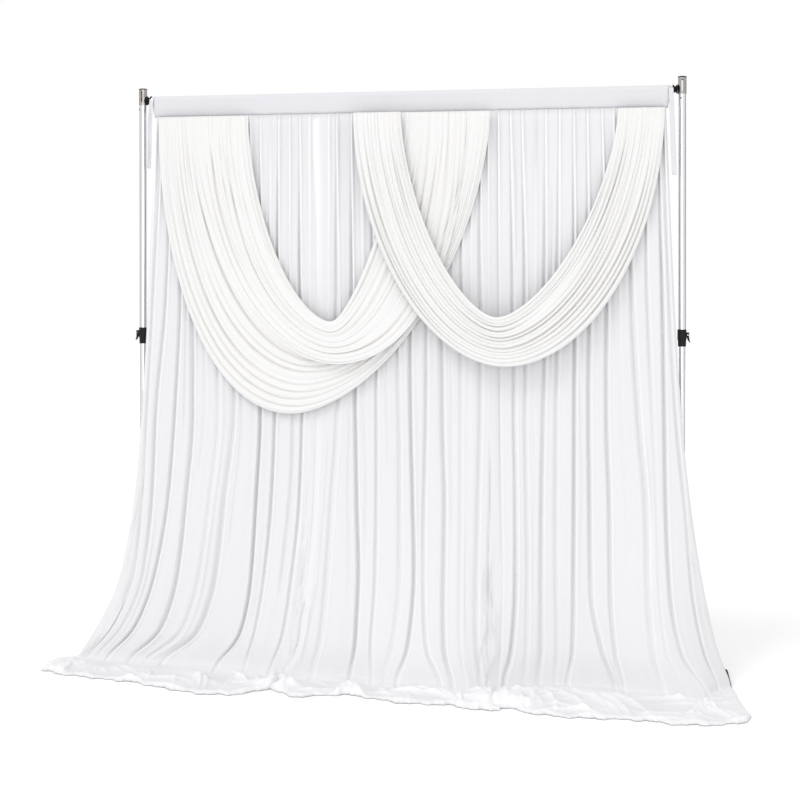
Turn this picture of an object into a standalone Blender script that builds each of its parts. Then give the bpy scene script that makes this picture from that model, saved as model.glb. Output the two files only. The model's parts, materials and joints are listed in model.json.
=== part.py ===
"""Swag drape on a backdrop stand.

Two telescopic posts on steel base plates carry a crossbar. A rod-pocket heading runs over the bar, and three
gathered panels and two swags hang from it. Units are metres, +Z is up and the front faces -Y. Everything is
modelled about the middle of the stand, and an empty moves that middle so that the origin lies on the floor at
the centre of the whole footprint, puddled hems included.
"""

import math
from collections import namedtuple

import bmesh
import bpy
from mathutils import Matrix, Vector

# ---------------------------------------------------------------- driving dimensions
STAND_X, STAND_Y = 0.070, 0.285  # the stand's middle, measured from the footprint's centre
POST_X = 1.418  # half the distance between the two posts
POST_TOP = 2.960  # top of the upper tubes
BAR_Z = 2.985  # height of the crossbar's axis
GAP = 0.0003  # between pieces that touch
SHEET = 0.0022  # thickness of every cloth sheet

PLATE = 0.480  # side of a square base plate
PLATE_THICK = 0.0065
PLATE_CORNER = 0.035
SPIGOT_R, SPIGOT_TOP = 0.0135, 0.160
FLANGE_R, FLANGE_THICK = 0.036, 0.005
LOWER_R, LOWER_WALL, LOWER_TOP = 0.0160, 0.0015, 2.000
UPPER_R, UPPER_WALL = 0.0190, 0.0016
COLLAR_BOTTOM, COLLAR_TOP = 1.686, 1.772
COLLAR_R_LOW, COLLAR_R_HIGH = 0.0200, 0.0230
CROWN_R, CROWN_WALL, CROWN_TOP = 0.0212, 0.0026, 3.043
WINDOW_WIDE, WINDOW_TALL = 0.007, 0.056
CAP_R, CAP_TALL = 0.0225, 0.0075
SNAP_FACING_LEFT, SNAP_FACING_RIGHT = -150, -110  # degrees about the post, where -90 faces the front
BAR_R, BAR_END = 0.0175, 1.370
HOOK_R, HOOK_WAIST = 0.0240, 0.0150
ROUND = 32  # sides of a round piece

HEADING_HALF = 1.357  # half the heading's length
SEAM_Z, SEAM_Y = 2.8935, -0.010  # bottom seam of the rod pocket
SWAG_TOP = PANEL_TOP = 2.888  # the hanging cloths start just below the seam

# ---------------------------------------------------------------- folds of the three panels
# Heights at which the fold table gives a valley's place across the curtain.
FOLD_HEIGHTS = (2.888, 1.90, 1.30, 0.88, 0.45, 0.18, 0.03)

# One row for each valley, from left to right. top to floor are its x at the heights above; it meets the
# floor at y = lands, and the hem below it lies at (hem_x, hem_y). depth is how far the fold on its right
# stands forward. The first and last rows of a panel are its side edges.
Fold = namedtuple("Fold", "top high mid low knee ankle floor lands hem_x hem_y depth")
LEFT_FOLDS = (
    Fold(-1.335, -1.380, -1.415, -1.450, -1.525, -1.645, -1.745, -0.075, -1.860, -0.130, 0.018),
    Fold(-1.300, -1.350, -1.385, -1.405, -1.450, -1.560, -1.690, -0.085, -1.848, -0.340, 0.026),
    Fold(-1.240, -1.280, -1.335, -1.350, -1.395, -1.500, -1.640, -0.100, -1.740, -0.400, 0.030),
    Fold(-1.180, -1.200, -1.230, -1.260, -1.330, -1.430, -1.580, -0.115, -1.600, -0.430, 0.036),
    Fold(-1.100, -1.130, -1.130, -1.160, -1.200, -1.280, -1.450, -0.140, -1.450, -0.465, 0.024),
    Fold(-0.990, -1.015, -1.020, -1.060, -1.100, -1.180, -1.360, -0.150, -1.310, -0.485, 0.034),
    Fold(-0.880, -0.890, -0.900, -0.950, -1.000, -1.080, -1.270, -0.160, -1.170, -0.550, 0.040),
    Fold(-0.770, -0.765, -0.760, -0.780, -0.810, -0.850, -0.960, -0.200, -0.930, -0.640, 0.030),
    Fold(-0.670, -0.675, -0.680, -0.690, -0.720, -0.755, -0.800, -0.230, -0.760, -0.640, 0.040),
    Fold(-0.560, -0.550, -0.535, -0.540, -0.580, -0.620, -0.680, -0.260, -0.650, -0.560, 0.032),
    Fold(-0.454, -0.452, -0.452, -0.457, -0.476, -0.500, -0.545, -0.300, -0.585, -0.480, 0.000),
)
MIDDLE_FOLDS = (
    Fold(-0.446, -0.444, -0.444, -0.449, -0.466, -0.490, -0.535, -0.310, -0.560, -0.520, 0.036),
    Fold(-0.350, -0.345, -0.350, -0.350, -0.350, -0.365, -0.400, -0.300, -0.430, -0.625, 0.036),
    Fold(-0.275, -0.265, -0.250, -0.240, -0.215, -0.220, -0.240, -0.290, -0.210, -0.540, 0.030),
    Fold(-0.180, -0.155, -0.140, -0.140, -0.130, -0.130, -0.120, -0.330, -0.080, -0.580, 0.030),
    Fold(-0.085, -0.050, -0.020, -0.020, -0.020, -0.030, -0.060, -0.350, 0.030, -0.625, 0.032),
    Fold(0.010, 0.030, 0.042, 0.060, 0.080, 0.065, 0.010, -0.370, 0.110, -0.645, 0.042),
    Fold(0.105, 0.120, 0.120, 0.120, 0.130, 0.160, 0.240, -0.400, 0.220, -0.640, 0.028),
    Fold(0.200, 0.200, 0.205, 0.220, 0.230, 0.250, 0.300, -0.400, 0.320, -0.640, 0.036),
    Fold(0.295, 0.295, 0.300, 0.305, 0.315, 0.330, 0.365, -0.390, 0.400, -0.675, 0.034),
    Fold(0.390, 0.395, 0.400, 0.405, 0.415, 0.430, 0.435, -0.350, 0.460, -0.700, 0.034),
    Fold(0.478, 0.484, 0.488, 0.496, 0.506, 0.506, 0.495, -0.310, 0.515, -0.690, 0.000),
)
RIGHT_FOLDS = (
    Fold(0.486, 0.492, 0.496, 0.504, 0.516, 0.516, 0.505, -0.300, 0.550, -0.620, 0.036),
    Fold(0.560, 0.566, 0.570, 0.580, 0.580, 0.566, 0.530, -0.290, 0.630, -0.610, 0.034),
    Fold(0.645, 0.640, 0.640, 0.640, 0.645, 0.650, 0.640, -0.270, 0.700, -0.710, 0.036),
    Fold(0.730, 0.720, 0.716, 0.712, 0.720, 0.722, 0.710, -0.250, 0.800, -0.735, 0.042),
    Fold(0.800, 0.800, 0.800, 0.798, 0.798, 0.800, 0.790, -0.240, 0.880, -0.750, 0.036),
    Fold(0.870, 0.878, 0.880, 0.880, 0.876, 0.876, 0.850, -0.240, 0.990, -0.748, 0.034),
    Fold(0.945, 0.950, 0.955, 0.960, 0.990, 1.045, 1.080, -0.250, 1.110, -0.742, 0.030),
    Fold(1.025, 1.038, 1.042, 1.055, 1.062, 1.090, 1.125, -0.260, 1.240, -0.745, 0.052),
    Fold(1.130, 1.165, 1.190, 1.235, 1.265, 1.285, 1.310, -0.280, 1.370, -0.785, 0.040),
    Fold(1.220, 1.245, 1.270, 1.300, 1.325, 1.360, 1.430, -0.280, 1.480, -0.775, 0.028),
    Fold(1.290, 1.320, 1.332, 1.345, 1.370, 1.430, 1.540, -0.250, 1.590, -0.750, 0.026),
    Fold(1.320, 1.355, 1.385, 1.415, 1.465, 1.520, 1.592, -0.180, 1.690, -0.690, 0.016),
    Fold(1.338, 1.380, 1.415, 1.455, 1.525, 1.590, 1.652, -0.110, 1.712, -0.600, 0.000),
)
SWEEP_FROM = 1.90  # the panels hang plumb above this height and sweep forward below it
SWEEP_POWER = 2.6
PANEL_Y = -0.024  # the valleys' depth where they hang plumb
HANG_ROWS = (2.888, 2.45, 1.95, 1.50, 1.14, 0.84, 0.58, 0.37, 0.20, 0.10, 0.04)
FLOOR_ROWS = (0.14, 0.42, 0.74, 1.0)  # shares of the way from the landing line to the hem
FOLD_STEPS = 3  # facets across one fold

# ---------------------------------------------------------------- sections of the two swags
# A section is one long fold line from the heading, down round its lowest point and up to the heading
# again. across is its place in the cloth. left and right are its x at the heading, low_x and low_z its
# lowest point, bend_left and bend_right how full its two sides are (2 is an ellipse, less is straighter),
# and front is how far in front of the posts its lowest point hangs.
Section = namedtuple("Section", "across left right low_x low_z bend_left bend_right front")
SWAG_LEFT = (
    Section(0.00, -0.825, -0.006, -0.366, 1.800, 1.70, 1.40, 0.096),
    Section(0.54, -1.132, 0.325, -0.350, 1.585, 1.80, 2.20, 0.118),
    Section(0.60, -1.146, 0.337, -0.480, 1.615, 1.85, 1.90, 0.088),
    Section(1.00, -1.314, 0.451, -0.585, 1.327, 2.05, 1.70, 0.084),
)
SWAG_RIGHT = (
    Section(0.00, -0.007, 1.099, 0.495, 1.825, 1.60, 1.56, 0.150),
    Section(0.50, -0.130, 1.210, 0.512, 1.705, 1.72, 1.70, 0.158),
    Section(1.00, -0.256, 1.330, 0.530, 1.585, 1.85, 1.92, 0.148),
)
# Crests across each swag: place in the cloth, and how far each stands forward of its valleys.
LEFT_CRESTS = (
    (0.03, 0.012), (0.10, 0.014), (0.17, 0.011), (0.245, 0.015), (0.315, 0.012),
    (0.39, 0.014), (0.45, 0.011), (0.515, 0.016), (0.64, 0.012), (0.705, 0.014),
    (0.775, 0.012), (0.84, 0.015), (0.91, 0.012), (0.97, 0.014),
)
RIGHT_CRESTS = (
    (0.04, 0.013), (0.145, 0.015), (0.255, 0.012), (0.37, 0.016), (0.475, 0.012),
    (0.59, 0.015), (0.70, 0.013), (0.81, 0.016), (0.92, 0.013),
)
SWAG_TOP_FRONT = 0.052  # how far in front of the posts the swags start, under the heading
OVERLAP_FRONT = 0.030  # the second swag's left leg lies this much further forward
SWAG_STEPS = 16  # facets along one swag

# ---------------------------------------------------------------- ties
# Each tie hangs from an end of the heading: its x and y at shares of its length.
Tie = namedtuple("Tie", "share x y")
TIE_WIDE = 0.022
TIE_TOP = 2.990
LEFT_TIE_LONG, RIGHT_TIE_LONG = 0.370, 0.440
LEFT_TIE = (
    Tie(0.0, -1.362, -0.026), Tie(0.25, -1.366, -0.034), Tie(0.5, -1.371, -0.030),
    Tie(0.75, -1.369, -0.037), Tie(1.0, -1.374, -0.034),
)
RIGHT_TIE = (
    Tie(0.0, 1.362, -0.026), Tie(0.25, 1.366, -0.036), Tie(0.5, 1.370, -0.042),
    Tie(0.75, 1.374, -0.038), Tie(1.0, 1.378, -0.044),
)


# ---------------------------------------------------------------- scene, materials and small helpers
def clear_scene():
    for obj in list(bpy.data.objects):
        bpy.data.objects.remove(obj)


def material(name, colour, roughness, metallic=0.0):
    made = bpy.data.materials.new(name)
    made.use_nodes = True
    shader = made.node_tree.nodes["Principled BSDF"]
    shader.inputs["Base Color"].default_value = (*colour, 1.0)
    shader.inputs["Roughness"].default_value = roughness
    shader.inputs["Metallic"].default_value = metallic
    return made


def place(name, mesh, finish, location=(0, 0, 0)):
    """An object for the mesh, parented to the stand's empty."""
    obj = bpy.data.objects.new(name, mesh)
    bpy.context.scene.collection.objects.link(obj)
    mesh.materials.append(finish)
    obj.location = location
    obj.parent = stand
    return obj


def between(value, keys, values):
    """Straight interpolation in a table whose keys rise or fall steadily."""
    rising = keys[-1] > keys[0]
    for i in range(len(keys) - 1):
        low, high = (keys[i], keys[i + 1]) if rising else (keys[i + 1], keys[i])
        if low <= value <= high:
            f = (value - keys[i]) / (keys[i + 1] - keys[i])
            return values[i] + (values[i + 1] - values[i]) * f
    return values[0] if (value < keys[0]) == rising else values[-1]


def sheet(name, grid, finish, closed=False):
    """A thin cloth solid: the grid of points is its middle surface. closed joins the last column to the first."""
    bm = bmesh.new()
    rows = [[bm.verts.new(p) for p in row] for row in grid]
    wide = len(rows[0])
    for above, below in zip(rows, rows[1:]):
        for j in range(wide if closed else wide - 1):
            k = (j + 1) % wide
            bm.faces.new((above[j], below[j], below[k], above[k]))
    bmesh.ops.recalc_face_normals(bm, faces=bm.faces)
    mesh = bpy.data.meshes.new(name)
    bm.to_mesh(mesh)
    bm.free()
    mesh.shade_smooth()
    obj = place(name, mesh, finish)
    thicken = obj.modifiers.new("Cloth thickness", "SOLIDIFY")
    thicken.thickness = SHEET
    thicken.offset = 0.0
    return obj


def turned(name, profile, finish, location, axis="Z", sides=ROUND):
    """A round piece from (radius, height) pairs that run round the whole outline of its wall."""
    bm = bmesh.new()
    rings = []
    for radius, height in profile:
        if radius == 0:
            rings.append([bm.verts.new((0, 0, height))])
            continue
        turns = (2 * math.pi * k / sides for k in range(sides))
        rings.append([bm.verts.new((radius * math.cos(a), radius * math.sin(a), height)) for a in turns])
    joined = list(zip(rings, rings[1:]))
    if profile[0][0] != 0:
        joined.append((rings[-1], rings[0]))
    for a, b in joined:
        for k in range(sides):
            n = (k + 1) % sides
            corners = [a[k % len(a)], a[n % len(a)], b[n % len(b)], b[k % len(b)]]
            bm.faces.new(list(dict.fromkeys(corners)))
    if axis == "X":
        bmesh.ops.rotate(bm, verts=bm.verts, matrix=Matrix.Rotation(math.pi / 2, 3, "Y"))
    if axis == "Y":
        bmesh.ops.rotate(bm, verts=bm.verts, matrix=Matrix.Rotation(math.pi / 2, 3, "X"))
    bmesh.ops.recalc_face_normals(bm, faces=bm.faces)
    mesh = bpy.data.meshes.new(name)
    bm.to_mesh(mesh)
    bm.free()
    mesh.shade_smooth()
    mesh.set_sharp_from_angle(angle=math.radians(35))
    return place(name, mesh, finish, location)


def tube(name, radius, wall, bottom, top, finish, x):
    inner = radius - wall
    profile = ((radius, bottom), (radius, top), (inner, top), (inner, bottom))
    return turned(name, profile, finish, (x, 0, 0))


def box_mesh(name, size, centre=(0, 0, 0)):
    bm = bmesh.new()
    bmesh.ops.create_cube(bm, size=1.0)
    bmesh.ops.scale(bm, verts=bm.verts, vec=size)
    bmesh.ops.translate(bm, verts=bm.verts, vec=centre)
    mesh = bpy.data.meshes.new(name)
    bm.to_mesh(mesh)
    bm.free()
    return mesh


def helper(name, mesh, location):
    """A cutter or a joined shape that the build leaves out."""
    obj = bpy.data.objects.new(name, mesh)
    bpy.context.scene.collection.objects.link(obj)
    obj.location = location
    obj.parent = stand
    obj.hide_render = True
    obj.display_type = "WIRE"
    return obj


def boolean(obj, other, operation):
    step = obj.modifiers.new(operation.title(), "BOOLEAN")
    step.operation = operation
    step.object = other


# ---------------------------------------------------------------- the stand
def base_plate(side, x):
    bm = bmesh.new()
    bmesh.ops.create_cube(bm, size=1.0)
    bmesh.ops.scale(bm, verts=bm.verts, vec=(PLATE, PLATE, PLATE_THICK))
    bmesh.ops.translate(bm, verts=bm.verts, vec=(0, 0, PLATE_THICK / 2))
    upright = [e for e in bm.edges if abs(e.verts[0].co.z - e.verts[1].co.z) > PLATE_THICK / 2]
    bmesh.ops.bevel(bm, geom=upright, offset=PLATE_CORNER, segments=6, profile=0.5, affect="EDGES")
    rim = [e for e in bm.edges if min(v.co.z for v in e.verts) > PLATE_THICK * 0.9]
    outer = [e for e in rim if any(abs(f.normal.z) < 0.5 for f in e.link_faces)]
    bmesh.ops.bevel(bm, geom=outer, offset=0.0015, segments=1, profile=0.5, affect="EDGES")
    mesh = bpy.data.meshes.new(f"base_plate_{side}")
    bm.to_mesh(mesh)
    bm.free()
    place(f"base_plate_{side}", mesh, black_steel, (x, 0, 0))
    foot = PLATE_THICK + GAP
    profile = (
        (0, foot), (FLANGE_R, foot), (FLANGE_R, foot + FLANGE_THICK), (SPIGOT_R, foot + FLANGE_THICK),
        (SPIGOT_R, SPIGOT_TOP - 0.004), (SPIGOT_R - 0.004, SPIGOT_TOP), (0, SPIGOT_TOP),
    )
    turned(f"base_spigot_{side}", profile, black_steel, (x, 0, 0))


def posts(side, x):
    lower_foot = PLATE_THICK + FLANGE_THICK + 2 * GAP
    tube(f"post_lower_{side}", LOWER_R, LOWER_WALL, lower_foot, LOWER_TOP, aluminium, x)
    shoulder = (COLLAR_BOTTOM + COLLAR_TOP) / 2
    tube(f"post_upper_{side}", UPPER_R, UPPER_WALL, shoulder + GAP, POST_TOP, aluminium, x)


def collar(side, x, out):
    """The height clamp: a tapered sleeve with a shoulder under the upper tube, two lugs, a cam lever and its pin."""
    shoulder = (COLLAR_BOTTOM + COLLAR_TOP) / 2
    profile = (
        (COLLAR_R_LOW, COLLAR_BOTTOM), (COLLAR_R_LOW + 0.001, COLLAR_BOTTOM + 0.030),
        (COLLAR_R_HIGH, COLLAR_BOTTOM + 0.036), (COLLAR_R_HIGH, COLLAR_TOP - 0.003),
        (COLLAR_R_HIGH - 0.002, COLLAR_TOP), (UPPER_R + GAP, COLLAR_TOP), (UPPER_R + GAP, shoulder),
        (LOWER_R + GAP, shoulder), (LOWER_R + GAP, COLLAR_BOTTOM),
    )
    sleeve = turned(f"lock_collar_{side}", profile, black_plastic, (x, 0, 0))
    pivot = Vector((out * 0.0295, 0, COLLAR_BOTTOM + 0.058))
    for turn in (-1, 1):
        lug = box_mesh(f"lug_{side}_{turn}", (0.016, 0.004, 0.026), (out * 0.0275, turn * 0.009, pivot.z))
        boolean(sleeve, helper(f"lug_{side}_{turn}", lug, (x, 0, 0)), "UNION")
    pin = ((0, -0.0130), (0.0032, -0.0130), (0.0032, 0.0130), (0, 0.0130))
    hole = turned(f"pin_hole_{side}", ((0, -0.03), (0.0035, -0.03), (0.0035, 0.03), (0, 0.03)), black_plastic,
                  (x + pivot.x, 0, pivot.z), "Y", 16)
    hole.hide_render = True
    hole.display_type = "WIRE"
    boolean(sleeve, hole, "DIFFERENCE")
    turned(f"lock_pin_{side}", pin, nickel, (x + pivot.x, 0, pivot.z), "Y", 16)

    # The lever's outline in x and z: a round cam at the pivot, a back that lies along the sleeve, a lifted thumb tip.
    cam = [(0.0070 * math.cos(a), 0.0070 * math.sin(a)) for a in (math.radians(d) for d in range(150, -61, -30))]
    tail = [(0.0075, -0.016), (0.0085, -0.028), (0.0125, -0.036), (0.0095, -0.039), (0.0030, -0.032), (-0.0035, -0.020)]
    outline = cam + tail
    bm = bmesh.new()
    face = bm.faces.new([bm.verts.new((out * px, -0.0055, pz)) for px, pz in outline])
    grown = bmesh.ops.extrude_face_region(bm, geom=[face])
    moved = [g for g in grown["geom"] if isinstance(g, bmesh.types.BMVert)]
    bmesh.ops.translate(bm, verts=moved, vec=(0, 0.011, 0))
    bmesh.ops.recalc_face_normals(bm, faces=bm.faces)
    mesh = bpy.data.meshes.new(f"lock_lever_{side}")
    bm.to_mesh(mesh)
    bm.free()
    lever = place(f"lock_lever_{side}", mesh, black_plastic, (x + pivot.x, 0, pivot.z))
    boolean(lever, hole, "DIFFERENCE")


def crown(side, x, out):
    """A nickel sleeve with four windows on the post's top, its black cap, and the snap button below it."""
    foot = POST_TOP + GAP
    inner = CROWN_R - CROWN_WALL
    profile = ((CROWN_R, foot), (CROWN_R, CROWN_TOP), (inner, CROWN_TOP), (inner, foot))
    sleeve = turned(f"crown_{side}", profile, nickel, (x, 0, 0))
    middle = CROWN_TOP - 0.010 - WINDOW_TALL / 2
    for n, size in enumerate(((3 * CROWN_R, WINDOW_WIDE, WINDOW_TALL), (WINDOW_WIDE, 3 * CROWN_R, WINDOW_TALL))):
        cutter = helper(f"crown_window_{side}_{n}", box_mesh(f"crown_window_{side}_{n}", size), (x, 0, middle))
        boolean(sleeve, cutter, "DIFFERENCE")
    rest = CROWN_TOP + GAP
    dome = [(CAP_R * math.cos(a), rest + 0.0035 + 0.004 * math.sin(a)) for a in (0, math.radians(40), math.radians(70))]
    cap = [(0, rest), (CAP_R, rest), *dome, (0, rest + CAP_TALL)]
    turned(f"crown_cap_{side}", cap, black_plastic, (x, 0, 0))
    button = [(0, 0), (0.0045, 0), (0.0040, 0.0018), (0.0022, 0.0030), (0, 0.0034)]
    snap = turned(f"snap_button_{side}", button, nickel, (x, 0, 0), "Z", 16)
    facing = SNAP_FACING_LEFT if out < 0 else SNAP_FACING_RIGHT
    snap.rotation_euler = (0, math.pi / 2, math.radians(facing))
    away = snap.rotation_euler.to_matrix() @ Vector((0, 0, UPPER_R + GAP))
    snap.location = Vector((x, 0, POST_TOP - 0.022)) + away


def crossbar():
    profile = (
        (BAR_R, -BAR_END), (BAR_R, BAR_END), (BAR_R - 0.0015, BAR_END), (BAR_R - 0.0015, -BAR_END),
    )
    turned("crossbar", profile, aluminium, (0, 0, BAR_Z), "X")


def bar_hook(side, x, out):
    """A waisted ferrule on the bar's end with a flat tongue through the crown's window."""
    start, end = BAR_END + GAP, POST_X - CROWN_R - 0.0012
    waist = (start + end) / 2
    profile = (
        (0, start), (HOOK_R, start), (HOOK_R, start + 0.003), (HOOK_WAIST, waist - 0.001),
        (HOOK_WAIST, waist + 0.001), (HOOK_R, end - 0.003), (HOOK_R, end), (0, end),
    )
    ferrule = turned(f"bar_hook_{side}", [(r, out * h) for r, h in profile], black_plastic,
                     (0, 0, BAR_Z), "X", 24)
    tongue = box_mesh(f"tongue_{side}", (0.024, 0.004, 0.024), (out * (end + 0.006), 0, 0))
    boolean(ferrule, helper(f"tongue_{side}", tongue, (0, 0, BAR_Z + 0.006)), "UNION")


# ---------------------------------------------------------------- cloth
def heading():
    """The rod pocket: a sleeve whose section is an arc over the bar and two walls that meet at the bottom seam."""
    arc_r = BAR_R + 0.0032
    arc = [math.radians(d) for d in (200, 165, 130, 90, 50, 15, -20)]
    section = [Vector((arc_r * -math.cos(a), BAR_Z + arc_r * math.sin(a))) for a in reversed(arc)]
    front, back = section[0], section[-1]
    seam_front, seam_back = Vector((SEAM_Y - 0.006, SEAM_Z)), Vector((SEAM_Y + 0.006, SEAM_Z))
    section = [seam_front, seam_front.lerp(front, 0.5), *section, back.lerp(seam_back, 0.5), seam_back]
    stations = 11
    grid = []
    for i in range(stations):
        share = i / (stations - 1)
        row = []
        for y, z in section:
            half = HEADING_HALF - (0.012 if z < BAR_Z - 0.05 else 0.0)  # the pocket's mouths slant inwards
            sag = 0.0012 * math.sin(5 * math.pi * share) * (BAR_Z + 0.02 - z) / 0.11
            row.append((half * (2 * share - 1), y, z + sag))
        grid.append(row)
    sheet("heading", grid, panel_cloth, closed=True)


def ground(x, y):
    """Height of what the puddled cloth lies on: the floor, or a base plate with room round its edges."""
    height = 0.0
    for post in (-POST_X, POST_X):
        outside = max(abs(x - post), abs(y)) - PLATE / 2
        share = min(max(1 - outside / 0.090, 0.0), 1.0)
        height = max(height, (PLATE_THICK + 0.006) * min(1.0, 1.6 * share))
    return height


def panel_point(folds, s, row):
    """A point of a panel. s counts folds from its left edge; row counts down the hanging rows, then the floor rows."""
    i = min(int(s), len(folds) - 2)
    f = s - i
    here, there = folds[i], folds[i + 1]
    crest = 1 - abs(2 * f - 1) ** 2.2
    hanging = row < len(HANG_ROWS)
    z = HANG_ROWS[row] if hanging else HANG_ROWS[-1]
    x = between(z, FOLD_HEIGHTS, [a + (b - a) * f for a, b in zip(here[:7], there[:7])])
    lands = here.lands + (there.lands - here.lands) * f
    sweep = max(0.0, (SWEEP_FROM - z) / SWEEP_FROM) ** SWEEP_POWER
    grown = 0.42 + 0.58 * min(1.0, (PANEL_TOP - z) / 1.2)
    y = PANEL_Y + (lands - PANEL_Y) * sweep - here.depth * crest * grown
    if hanging:
        return Vector((x, y, max(z, ground(x, y) + 0.030)))
    t = FLOOR_ROWS[row - len(HANG_ROWS)]
    hem_x = here.hem_x + (there.hem_x - here.hem_x) * f
    hem_y = here.hem_y + (there.hem_y - here.hem_y) * f
    x, y = x + (hem_x - x) * t, y + (hem_y - y) * t
    lift = 0.003 + 0.5 * here.depth * crest * (1 - t) ** 0.7 + 0.014 * math.sin(math.pi * min(1.0, t * 1.1)) ** 2
    return Vector((x, y, ground(x, y) + lift))


def panel(name, folds):
    steps = FOLD_STEPS * (len(folds) - 1)
    rows = len(HANG_ROWS) + len(FLOOR_ROWS)
    grid = [[panel_point(folds, j / FOLD_STEPS, i) for j in range(steps + 1)] for i in range(rows)]
    sheet(name, grid, panel_cloth)


def swag_point(sections, relief, v, u, forward):
    """A point of a swag. v runs across the cloth, from its inner edge to its outer one; u runs along it, 0 to 1."""
    across = [s.across for s in sections]
    left, right, low_x, low_z, bend_l, bend_r, front = (
        between(v, across, [s[k] for s in sections]) for k in range(1, 8)
    )
    on_left = u < 0.5
    angle = math.pi / 2 * (2 * u if on_left else 2 - 2 * u)  # 0 at the heading, a right angle at the lowest point
    bend = bend_l if on_left else bend_r
    reach = low_x - left if on_left else right - low_x
    out = reach * math.cos(angle) ** (2 / bend)
    drop = (SWAG_TOP - low_z) * math.sin(angle) ** (2 / bend)
    x = low_x - out if on_left else low_x + out
    bulge = math.sin(angle) ** 1.3
    start = SWAG_TOP_FRONT + (forward if on_left else 0.0)
    y = -(start + (front - start) * bulge) - relief * (0.45 + 0.55 * math.sin(angle))
    return Vector((x, y, SWAG_TOP - drop))


def swag(name, sections, crests, forward):
    """The columns of the grid are the crests and the valleys half way between them, and the two edges."""
    lines = [(0.0, 0.0)]
    for k, (place_v, height) in enumerate(crests):
        lines.append((place_v, height))
        after = crests[k + 1][0] if k + 1 < len(crests) else 1.0
        lines.append(((place_v + after) / 2 if k + 1 < len(crests) else 1.0, 0.0))
    grid = []
    for i in range(SWAG_STEPS + 1):
        u = i / SWAG_STEPS
        grid.append([swag_point(sections, height, v, u, forward) for v, height in lines])
    sheet(name, grid, swag_cloth)


def tie(name, shape, long):
    shares = [t.share for t in shape]
    grid = []
    for i in range(9):
        share = i / 8
        x, y = between(share, shares, [t.x for t in shape]), between(share, shares, [t.y for t in shape])
        z = TIE_TOP - long * share
        grid.append([(x - TIE_WIDE / 2, y, z), (x, y - 0.0015, z), (x + TIE_WIDE / 2, y, z)])
    sheet(name, grid, panel_cloth)


clear_scene()
stand = bpy.data.objects.new("stand_middle", None)
stand.location = (STAND_X, STAND_Y, 0)
bpy.context.scene.collection.objects.link(stand)

panel_cloth = material("panel cloth", (0.86, 0.86, 0.88), 0.75)
swag_cloth = material("swag cloth", (0.90, 0.89, 0.86), 0.70)
aluminium = material("satin aluminium", (0.72, 0.73, 0.75), 0.35, 1.0)
nickel = material("dark nickel", (0.45, 0.42, 0.40), 0.28, 1.0)
black_plastic = material("black plastic", (0.02, 0.02, 0.02), 0.45)
black_steel = material("black powder coat", (0.015, 0.015, 0.015), 0.55)

for side_name, side_sign in (("left", -1), ("right", 1)):
    post_x = side_sign * POST_X
    base_plate(side_name, post_x)
    posts(side_name, post_x)
    collar(side_name, post_x, side_sign)
    crown(side_name, post_x, side_sign)
    bar_hook(side_name, post_x, side_sign)
crossbar()

heading()
panel("panel_left", LEFT_FOLDS)
panel("panel_middle", MIDDLE_FOLDS)
panel("panel_right", RIGHT_FOLDS)
swag("swag_left", SWAG_LEFT, LEFT_CRESTS, 0.0)
swag("swag_right", SWAG_RIGHT, RIGHT_CRESTS, OVERLAP_FRONT)
tie("tie_left", LEFT_TIE, LEFT_TIE_LONG)
tie("tie_right", RIGHT_TIE, RIGHT_TIE_LONG)
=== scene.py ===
# %% [markdown]
# # A swag drape on a backdrop stand
# The real thing is a white stretch-knit drape for events. A flat sleeve, the rod pocket, slides over a
# crossbar between two telescopic posts. Three gathered panels are sewn under the pocket and run out into a
# puddle on the floor, and two swags hang in front of them.
#
# The posts, clamps and plates come ready made from the frame and only get better finishes here. The cloth
# is where the work is: every sheet is a grid of points worked out from a short table of its folds, because
# gathered cloth is easiest to control by saying where each valley runs and how deep it is.

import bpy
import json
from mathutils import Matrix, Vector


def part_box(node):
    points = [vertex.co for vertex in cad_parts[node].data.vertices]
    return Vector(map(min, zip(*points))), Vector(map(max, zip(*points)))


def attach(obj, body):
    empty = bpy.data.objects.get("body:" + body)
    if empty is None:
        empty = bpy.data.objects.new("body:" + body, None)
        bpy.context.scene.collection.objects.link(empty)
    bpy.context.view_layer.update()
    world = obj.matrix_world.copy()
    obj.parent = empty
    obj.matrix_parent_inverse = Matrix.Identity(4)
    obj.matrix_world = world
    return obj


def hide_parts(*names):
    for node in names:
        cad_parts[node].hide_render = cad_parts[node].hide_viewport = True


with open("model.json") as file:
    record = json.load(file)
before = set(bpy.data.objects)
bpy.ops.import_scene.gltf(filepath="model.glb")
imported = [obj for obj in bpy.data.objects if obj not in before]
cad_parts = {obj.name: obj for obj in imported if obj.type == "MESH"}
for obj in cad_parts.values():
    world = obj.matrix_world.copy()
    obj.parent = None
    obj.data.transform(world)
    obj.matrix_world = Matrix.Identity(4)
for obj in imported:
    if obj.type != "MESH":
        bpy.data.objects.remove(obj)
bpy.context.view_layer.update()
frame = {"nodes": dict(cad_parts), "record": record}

# %% Tools
import json
import math
from collections import namedtuple

import bpy
import numpy as np
from mathutils import Vector

bpy.ops.object.select_all(action="DESELECT")

# %% [markdown]
# ## Where the stand is
# Every length below is measured from the middle of the stand at floor level. The frame says where the posts
# and the bar are, so the cloth follows them if they are ever moved.

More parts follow.
